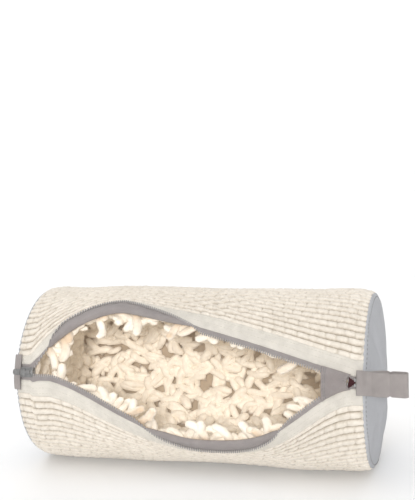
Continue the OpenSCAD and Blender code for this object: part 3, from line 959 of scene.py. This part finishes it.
# %% One noodle, several shapes
def noodle_item(number):
    """A soft worm with round ends: its root is at the origin and it lies along X."""
    shape = np.random.default_rng(100 + number)
    length = shape.uniform(24, 32) * MM
    thick = shape.uniform(4.5, 5.2) * MM
    bend = shape.uniform(-0.8, 0.8)
    lift = shape.uniform(2.5, 9.0) * MM
    rings, sides = 6, 6
    verts, faces = [(-0.6 * thick, 0, 0.55 * thick)], []
    s = np.linspace(0, 1, rings)
    heading = bend * (s - 0.2) * 1.4
    cx = np.cumsum(np.cos(heading)) * length / rings
    cy = np.cumsum(np.sin(heading)) * length / rings
    cz = 0.75 * thick + lift * np.sin(s * math.pi * shape.uniform(0.55, 0.95))
    size = thick * np.array([0.82, 1.0, 0.95, 1.03, 0.98, 0.80]) * (1 + 0.05 * shape.standard_normal(rings))
    for i in range(rings):
        side_dir = np.array([-math.sin(heading[i]), math.cos(heading[i]), 0])
        for k in range(sides):
            a = 2 * math.pi * k / sides
            out = math.cos(a) * side_dir + math.sin(a) * np.array([0, 0, 1])
            verts.append(tuple(np.array([cx[i], cy[i], cz[i]]) + size[i] * out))
    onward = np.array([math.cos(heading[-1]), math.sin(heading[-1]), 0])
    tip = np.array([cx[-1], cy[-1], cz[-1]]) + 0.55 * thick * onward
    verts.append(tuple(tip))
    last = len(verts) - 1
    for k in range(sides):
        m = (k + 1) % sides
        faces.append((0, 1 + m, 1 + k))
        faces.append((last, last - sides + k, last - sides + m))
        for i in range(rings - 1):
            a, b = 1 + i * sides, 1 + (i + 1) * sides
            faces.append((a + k, a + m, b + m, b + k))
    mesh = bpy.data.meshes.new(f"noodle_{number}")
    mesh.from_pydata(verts, [], faces)
    mesh.update()
    return bpy.data.objects.new(f"noodle_{number}", mesh)


noodle_shapes = bpy.data.collections.new("noodle_shapes")
for number in range(6):
    noodle_shapes.objects.link(noodle_item(number))


# %% A tree that scatters noodles
def pile_tree():
    tree, given, result = new_tree("noodle_pile", [
        ("Noodles", "NodeSocketCollection"), ("Spacing", "NodeSocketFloat"), ("Seed", "NodeSocketInt"),
        ("Material", "NodeSocketMaterial")])
    spread = node(tree, "GeometryNodeDistributePointsOnFaces", {
        "Mesh": given.outputs["Geometry"], "Distance Min": given.outputs["Spacing"],
        "Density Max": 60000.0, "Seed": given.outputs["Seed"]}, distribute_method="POISSON")
    place = node(tree, "GeometryNodeInputPosition")
    root = node(tree, "GeometryNodeStoreNamedAttribute", {"Geometry": spread.outputs["Points"],
                                                          "Name": "root"}, data_type="FLOAT_VECTOR")
    tree.links.new(place.outputs[0], root.inputs[3])
    shapes = node(tree, "GeometryNodeCollectionInfo", {"Collection": given.outputs["Noodles"],
                                                       "Separate Children": True, "Reset Children": True})
    spin = node(tree, "FunctionNodeRandomValue", {"Seed": given.outputs["Seed"]}, data_type="FLOAT_VECTOR")
    spin.inputs[0].default_value = (-0.15, -0.30, -math.pi)
    spin.inputs[1].default_value = (0.15, 0.12, math.pi)
    rotation = node(tree, "FunctionNodeEulerToRotation", {0: spin.outputs[0]})
    grow = node(tree, "FunctionNodeRandomValue", {"Seed": given.outputs["Seed"]}, data_type="FLOAT")
    grow.inputs[2].default_value = 0.88
    grow.inputs[3].default_value = 1.14
    placed = node(tree, "GeometryNodeInstanceOnPoints", {
        "Points": root.outputs[0], "Instance": shapes.outputs[0], "Pick Instance": True})
    tree.links.new(rotation.outputs[0], placed.inputs["Rotation"])
    tree.links.new(grow.outputs[1], placed.inputs["Scale"])
    end_tree(tree, given, placed, result)
    return tree


pile = pile_tree()


def flat_cloth(name, corners):
    mesh = bpy.data.meshes.new(name)
    mesh.from_pydata([(x, y, 0) for x, y in corners], [], [tuple(range(len(corners)))])
    return mesh


def noodle_roots(obj):
    values = np.zeros(len(obj.data.vertices) * 3, np.float32)
    obj.data.attributes["root"].data.foreach_get("vector", values)
    return values.reshape(-1, 3).astype(float)


def pile_points(obj):
    """A pile's points on its flat cloth, kept above it, with painted shade that grows deeper down in the
    pile.
    """
    flat = points_of(obj)
    flat[:, 2] = np.maximum(flat[:, 2], 0.3 * MM)
    # Painted shade: darker the nearer a point lies to the cloth.
    set_attribute(obj, "groove", unit(1 - flat[:, 2] / (7 * MM)) ** 1.3)
    return flat


def noodles(side, lining_cloth_piece):
    half = SEAM_X - 15 * MM
    low, high = 11 * MM, HALF_ROUND
    sheet = flat_cloth("flat_lining", [(-half, low), (half, low), (half, high), (-half, high)])
    obj = run_tree(pile, f"noodles_{SIDE_NAME[side]}", {
        "Noodles": noodle_shapes, "Spacing": 7.7 * MM, "Seed": 11 if side > 0 else 12,
        "Material": noodle_chenille}, sheet)
    flat, root = pile_points(obj), noodle_roots(obj)
    x = np.clip(flat[:, 0], -SEAM_X + 7 * MM, SEAM_X - 7 * MM)
    share = cloth_share(root[:, 0], root[:, 1], side)
    r = LINING_R - 0.6 * MM - flat[:, 2] + swell(root[:, 0], root[:, 1], side)
    set_points(obj, roll_up(x, flat[:, 1], r, side, share))
    if side > 0:
        reverse_faces(obj)
    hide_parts("noodle_pile")
    turn_with_lip(obj, side, share)
    print(obj.name, len(obj.data.polygons), "faces")


for side in (1, -1):
    noodles(side, lining(side))

# %% [markdown]
# ## The two ends
# Each end is a plain grey disc, slightly domed, with soft folds where the cloth is eased into
# the seam. Behind it are its lining and its own pile, and a narrow tape binds the cut edges.


# %% Round pieces
def disc(name, side, radius, x_of, material, rings=26, spokes=96, thickness=1.2 * MM, flat=True):
    """A closed thin disc facing along X; x_of gives its outer face from the radius and the angle."""
    verts, faces, uv = [], [], []
    for layer in (0, 1):
        depth = layer * thickness
        verts.append((side * (float(x_of(0.0, 0.0)) - depth), 0, AXIS_Z))
        uv.append((0, 0))
        for i in range(1, rings + 1):
            rho = radius * (i / rings) ** 0.85
            for k in range(spokes):
                a = 2 * math.pi * k / spokes
                z = AXIS_Z + rho * math.sin(a)
                low = RADIUS - radius + 0.3 * MM
                if flat and z < low:
                    z = low
                verts.append((side * (float(x_of(rho / radius, a)) - depth), rho * math.cos(a), z))
                uv.append((rho * math.cos(a), rho * math.sin(a)))
    base = 1 + rings * spokes

    def at(layer, i, k):
        return layer * base + 1 + (i - 1) * spokes + k % spokes

    for k in range(spokes):
        faces.append((0, at(0, 1, k), at(0, 1, k + 1)))
        faces.append((base, at(1, 1, k + 1), at(1, 1, k)))
        for i in range(1, rings):
            faces.append((at(0, i, k), at(0, i + 1, k), at(0, i + 1, k + 1), at(0, i, k + 1)))
            faces.append((at(1, i, k), at(1, i, k + 1), at(1, i + 1, k + 1), at(1, i + 1, k)))
        faces.append((at(0, rings, k), at(1, rings, k), at(1, rings, k + 1), at(0, rings, k + 1)))
    if side < 0:
        faces = [tuple(reversed(f)) for f in faces]
    obj = make_object(name, verts, faces, material)
    set_pattern(obj, np.array(uv))
    return obj


# %% End panels
DOME = 8.5 * MM
END_RADIUS = RADIUS - 4.2 * MM


def end_face(s, a, side):
    """Distance of an end panel from the middle of the bag, for a share of its radius and an angle."""
    folds = 1.3 * MM * math.sin(7 * a + 1.0 + side) + 1.1 * MM * math.sin(11 * a - 0.6)
    folds += 0.8 * MM * math.sin(19 * a + 2.0)
    folds *= s ** 2.5 * (1 - s) * 4
    drape = 0.9 * MM * math.sin(5.5 * s * math.cos(a) + 0.8) * (1 - s ** 4)
    roll = -1.2 * MM * max(0.0, s - 0.95) / 0.05
    return SEAM_X + DOME * (1 - s ** 2.3) + folds + drape + roll


def end_panel(side):
    name = f"{END_NAME[side]}_end_cloth"
    obj = disc(name, side, END_RADIUS, lambda s, a: end_face(s, a, side), end_cloth)
    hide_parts(f"{END_NAME[side]}_end_panel")
    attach(obj, "root")
    print(name, len(obj.data.polygons), "faces")


# %% Stitches round the ends
def end_stitches(side):
    count = 116
    place = 0.962
    obj = run_tree(rows, f"{END_NAME[side]}_end_stitches", {
        "Item": stitch_item, "Count": count, "Start": (0, 0, 0),
        "Step": (2 * math.pi * END_RADIUS * place / count, 0, 0), "Wobble": 0.08, "Seed": 31,
        "Material": grey_thread})
    flat = points_of(obj)
    a = flat[:, 0] / (END_RADIUS * place)
    rho = END_RADIUS * place + flat[:, 1]
    face = np.array([end_face(place, angle, side) for angle in a])
    x = side * (face + 0.15 * MM + flat[:, 2])
    set_points(obj, np.stack([x, rho * np.cos(a), AXIS_Z + rho * np.sin(a)], -1))
    if side < 0:
        reverse_faces(obj)
    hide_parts(f"{END_NAME[side]}_seam_stitches")
    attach(obj, "root")
    print(obj.name, count, "stitches")


# %% End linings with their pile
def end_lining(side):
    name = END_NAME[side]
    face = SEAM_X - 2.4 * MM
    cloth = disc(f"{name}_end_lining_cloth", side, RADIUS - 10 * MM,
                 lambda s, a: face - 1.0 * MM * math.sin(3 * a) * s * (1 - s), lining_cloth, 10, 48)
    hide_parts(f"{name}_end_lining")
    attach(cloth, "root")
    reach = RADIUS - 24 * MM
    round_cloth = [(reach * math.cos(a), reach * math.sin(a)) for a in np.linspace(0, 2 * math.pi, 49)[:-1]]
    obj = run_tree(pile, f"{name}_end_pile", {
        "Noodles": noodle_shapes, "Spacing": 7.7 * MM, "Seed": 21 if side > 0 else 22,
        "Material": noodle_chenille}, flat_cloth("flat_end", round_cloth))
    flat = pile_points(obj)
    rho = np.hypot(flat[:, 0], flat[:, 1])
    most = RADIUS - 13 * MM
    flat[:, :2] *= (np.minimum(rho, most) / np.maximum(rho, 1e-6))[:, None]
    x = side * (face - 1.6 * MM - flat[:, 2])
    set_points(obj, np.stack([x, flat[:, 0], AXIS_Z + flat[:, 1]], -1))
    if side > 0:
        reverse_faces(obj)
    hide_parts(f"{name}_end_noodles")
    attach(obj, "root")
    print(name, "end pile", len(obj.data.polygons), "faces")


for side in (1, -1):
    end_panel(side)
    end_stitches(side)
    end_lining(side)

# %% [markdown]
# ## Cover over the end of the zip
# A gathered grey elastic bridges the two bands at the right end. The slider parks beneath it,
# so it arches up in the middle. It is tucked under both bands, and its right edge is cut to a
# hollow curve.

# %% Cover
COVER_LEFT, COVER_RIGHT = 0.1465, 0.1765


def cover_point(along, t, lift):
    """along runs from the cover's left edge to its right; t from -1 at the lower band to 1 at the upper."""
    x = mix(COVER_LEFT, COVER_RIGHT - 3.9 * MM * (1 - t ** 2), along)
    gap = (closed_gap(x) + 1.6 * MM) / RADIUS
    high = gap + OPENING[1] * rise(x, 1)
    low = gap + OPENING[-1] * rise(x, -1)
    angle = ZIP_TILT + mix(-low, high, (t + 1) / 2)
    gather = 0.35 * MM * np.sin(70 * t * (1.3 - along)) * (1 - t ** 4)
    gather = gather + 0.25 * MM * np.sin(1150 * x + 6 * t) * np.exp(-(along / 0.5) ** 2)
    dome = 7.6 * MM + 3.1 * MM * ease(unit(along * 2.5))
    r = RADIUS - 4.1 * MM + dome * (1 - np.abs(t) ** 3) + gather + lift + swell(x, 0.0, 1)
    return on_drum(x, angle, r)


def cover():
    along, t = np.meshgrid(np.linspace(0, 1, 40), np.linspace(-1, 1, 61), indexing="ij")
    hem = 0.35 * MM * np.exp(-((along - 0.02) / 0.03) ** 2)
    top = cover_point(along, t, 0.45 * MM + hem)
    under = cover_point(along, t, -0.45 * MM)
    uv = np.stack([along * 28 * MM, t * 15 * MM], -1)
    obj, keep = shell("zip_cover", top, under, uv, garage_cloth)
    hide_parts("zip_garage")
    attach(obj, "root")
    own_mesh(obj)
    print(obj.name, len(obj.data.polygons), "faces")


def cover_stitches():
    parts = []
    for number, inset in enumerate((2.4 * MM, 4.6 * MM)):
        count = 10
        obj = run_tree(rows, f"cover_row_{number}", {
            "Item": stitch_item, "Count": count, "Start": (-15.0 * MM, 0, 0),
            "Step": (30 * MM / (count - 1), 0, 0), "Wobble": 0.06, "Seed": 41 + number,
            "Material": grey_thread})
        flat = points_of(obj)
        along = (inset + flat[:, 1]) / (COVER_RIGHT - COVER_LEFT)
        set_points(obj, cover_point(along, flat[:, 0] / (18.5 * MM), 0.5 * MM + flat[:, 2]))
        parts.append(obj)
    obj = join("cover_stitches", parts)
    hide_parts("garage_stitches")
    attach(obj, "root")
    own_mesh(obj)
    print(obj.name, len(obj.data.polygons), "faces")


cover()
cover_stitches()

# %% [markdown]
# ## Bar tack at the zip's end
# Dense dark red stitching holds the two tapes together past the last teeth. It is worked to a
# point towards the seam, so it is one small padded wedge with a ridge for each thread.


# %% Bar tack
def bar_tack():
    s, t = np.meshgrid(np.linspace(0, 1, 31), np.linspace(-1, 1, 13), indexing="ij")
    x = 0.1738 + 6.8 * MM * s + 0.4 * MM * np.sin(3 * t)
    wide = 5.2 * MM * (1 - s) ** 0.8 + 0.5 * MM
    arc = t * wide * (1 + 0.07 * np.sin(19 * s))
    thread = 0.3 * MM * np.abs(np.sin(s * 7 * math.pi))
    r = RADIUS - 2.4 * MM + 0.8 * MM * (1 - t ** 2) + thread + swell(x, 0.0, 1)
    angle = ZIP_TILT + arc / RADIUS
    low = RADIUS - 3.4 * MM + swell(x, 0.0, 1)
    top, under = on_drum(x, angle, r), on_drum(x, angle, low)
    obj, keep = shell("red_bar_tack", top, under, np.stack([x, arc], -1), red_thread)
    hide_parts("zip_end_bartack")
    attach(obj, "root")
    print(obj.name, len(obj.data.polygons), "faces")


bar_tack()

# %% [markdown]
# ## Webbing tab and loop
# The left end of the zip is covered by a short strip of webbing, wrapped round the end seam.
# At the right end a longer strip is folded double into a loop. Both are woven tape, so each
# is one thin strip laid along a path, with the loop's edges drawn in slightly at a crease.

# %% Left tab
WEBBING_T = 1.1 * MM


def left_tab():
    path_x = np.array([-190.6, -191.0, -190.6, -189.2, -187.0, -184.6, -182.8]) * MM
    path_r = RADIUS + np.array([-8.0, -4.5, -2.0, -0.3, 0.1, 0.0, -0.1]) * MM
    s = np.linspace(0, 1, 22)
    knots = np.linspace(0, 1, len(path_x))
    px, pr = np.interp(s, knots, path_x), np.interp(s, knots, path_r)
    dx, dr = np.gradient(px), np.gradient(pr)
    length = np.hypot(dx, dr)
    t = np.linspace(-1, 1, 41)
    across = t * 19 * MM
    faces = []
    for offset in (0.5, -0.5):
        x = (px - dr / length * offset * WEBBING_T)[:, None] + 0.25 * MM * np.sin(3 * t)[None, :]
        r = (pr + dx / length * offset * WEBBING_T)[:, None] - 0.5 * MM * (t ** 6)[None, :]
        angle = ZIP_TILT + (across / RADIUS)[None, :] + 0 * r
        faces.append(on_drum(x, angle, r))
    uv = np.stack(np.meshgrid(s * 16 * MM, across, indexing="ij"), -1)
    obj, keep = shell("left_webbing_tab", faces[0], faces[1], uv, webbing_cloth)
    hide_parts("left_tab")
    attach(obj, "root")
    print(obj.name, len(obj.data.polygons), "faces")


left_tab()

# %% Right loop
LOOP_Y = -RADIUS * math.cos(ZIP_TILT) - 1.1 * MM
LOOP_Z = AXIS_Z + RADIUS * math.sin(ZIP_TILT)
LOOP_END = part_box("right_loop")[1][0]
LOOP_T = 1.4 * MM


def loop_path():
    """Points (X, offset from the loop's middle plane) round the folded strip."""
    turn = LOOP_END - 4.3 * MM
    front = [(182.0, -0.8), (187.0, -0.8), (192.0, -0.8), (197.5, -0.85), (201.0, -2.4), (205.0, -3.4)]
    points = [(x * MM, y * MM) for x, y in front]
    points += [(x, -3.5 * MM) for x in np.linspace(0.209, turn - 1 * MM, 6)]
    bend = np.linspace(0.2, math.pi - 0.2, 9)
    points += [(turn + 3.5 * MM * math.sin(a), -3.5 * MM * math.cos(a)) for a in bend]
    points += [(x, 3.5 * MM) for x in np.linspace(turn - 1 * MM, 0.209, 6)]
    points += [(x, -y) for x, y in ((p[0] * MM, p[1] * MM) for p in reversed(front[1:]))]
    return np.array(points)


def right_loop():
    path = loop_path()
    steps = np.r_[0, np.cumsum(np.hypot(*np.diff(path, axis=0).T))]
    s = np.linspace(0, steps[-1], 150)
    px, py = np.interp(s, steps, path[:, 0]), np.interp(s, steps, path[:, 1])
    dx, dy = np.gradient(px), np.gradient(py)
    length = np.hypot(dx, dy)
    t = np.linspace(-1, 1, 25)
    waist = 1 - 0.10 * np.exp(-((px - 0.2155) / (1.6 * MM)) ** 2) - 0.03 * unit((px - 0.2155) / (3 * MM))
    across = 12.5 * MM * waist[:, None] * t[None, :]
    faces = []
    for offset in (0.5, -0.5):
        x = (px + dy / length * offset * LOOP_T)[:, None] + 0 * across
        y_off = (py - dx / length * offset * LOOP_T)[:, None] + 0 * across
        crease = 0.6 * MM * np.exp(-((x - 0.2155) / (1.5 * MM)) ** 2)
        sway = 0.9 * MM * np.sin((x - 0.2) * 120) * unit((x - 0.195) / 0.03)
        sway = sway + across * 0.04 * unit((x - 0.2) / 0.03)
        flat = np.stack([x, LOOP_Y + y_off + crease + sway, LOOP_Z + across], -1)
        r = RADIUS - 0.6 * MM - y_off + 0.2 * MM
        angle = ZIP_TILT + across / RADIUS
        wrapped = on_drum(x, angle, r)
        free = ease(unit((x - 0.187) / (7 * MM)))[..., None]
        faces.append(mix(wrapped, flat, free))
    uv = np.stack([s[:, None] + 0 * across, across], -1)
    obj, keep = shell("webbing_loop", faces[0], faces[1], uv, webbing_cloth)
    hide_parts("right_loop")
    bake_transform(obj, "root", "loop", start=(0, 0, 0), end=(0, 0, 1))
    set_attribute(obj, "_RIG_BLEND", ease(unit((points_of(obj)[:, 0] - 0.189) / (8 * MM))))
    print(obj.name, "strip length", round(float(steps[-1]), 4), len(obj.data.polygons), "faces")


right_loop()

# %% [markdown]
# ## Metal parts and bindings
# The slider, its bridge, its pull and the stops keep the design's own solids, which already
# have their true shape. They get the finish of a grey painted zinc casting with fine grain.

# %% Finishes for the design's own parts
binding_colour = (0.66, 0.63, 0.56)
binding_weave, binding_tree, binding_shader = material_tree("binding_weave", binding_colour, 0.9, sheen=0.2)
binding_noise = noise(binding_tree, object_coords(binding_tree), 700.0, 4.0)
binding_tone = ramp(binding_tree, binding_noise, (0.52, 0.49, 0.43), (0.72, 0.69, 0.62), 0.3, 0.7)
binding_tree.links.new(binding_tone, binding_shader.inputs["Base Color"])
bump(binding_tree, binding_shader, binding_noise, 0.2 * MM)
own_finishes = {
    "zip_bottom_stop": painted_zinc, "zip_top_stops": painted_zinc, "slider_body": painted_zinc,
    "slider_cap": painted_zinc, "slider_pull": painted_zinc, "slider_lock_spring": spring_steel,
    "left_seam_binding": binding_weave, "right_seam_binding": binding_weave,
}
for name, finish in own_finishes.items():
    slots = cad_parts[name].data.materials
    for index in range(len(slots)):
        slots[index] = finish
    if not len(slots):
        slots.append(finish)
print("own parts finished", len(own_finishes))
